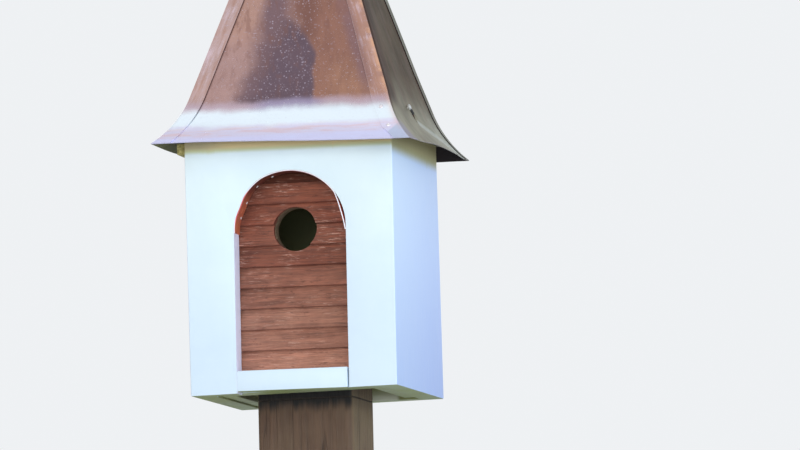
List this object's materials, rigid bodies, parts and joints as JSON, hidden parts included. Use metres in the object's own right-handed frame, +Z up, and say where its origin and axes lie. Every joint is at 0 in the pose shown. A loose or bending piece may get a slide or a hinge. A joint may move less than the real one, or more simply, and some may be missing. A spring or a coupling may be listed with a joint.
{
  "type": "post-mounted nest box",
  "caption": "Square white nest box on a wooden post, with an arched recess of lapped boards and a tall flared copper roof.",
  "frame": {"origin": "middle of the post's foot, at ground level", "axes": "+Z up along the post, -Y out of the arched front, +X to the right seen from the front"},
  "size_m": [0.245, 0.2437, 1.7716],
  "materials": {
    "white_board": "satin",
    "cedar": "weathered",
    "inner_wood": "plain sawn",
    "post_wood": "weathered",
    "copper_sheet": "tarnished, semi-gloss",
    "copper_strip": "tarnished"
  },
  "bodies": {
    "root": {"post": "post_wood", "mount_block": "post_wood", "bottom_board": "white_board", "nest_floor": "inner_wood", "front_wall": "white_board", "right_wall": "white_board", "back_wall": "white_board", "left_wall": "white_board", "sill_rail": "white_board", "inner_front": "inner_wood", "lap_board_01": "cedar", "lap_board_02": "cedar", "lap_board_03": "cedar", "lap_board_04": "cedar", "lap_board_05": "cedar", "lap_board_06": "cedar", "lap_board_07": "cedar", "lap_board_08": "cedar", "lap_board_09": "cedar", "lap_board_10": "cedar", "lap_board_11": "cedar", "arch_liner": "copper_strip", "left_eave_cleat": "inner_wood", "roof_base": "inner_wood", "roof_front": "copper_sheet", "roof_right": "copper_sheet", "roof_left": "copper_sheet", "roof_back": "copper_sheet", "roof_tip": "copper_sheet"}
  },
  "joints": []
}
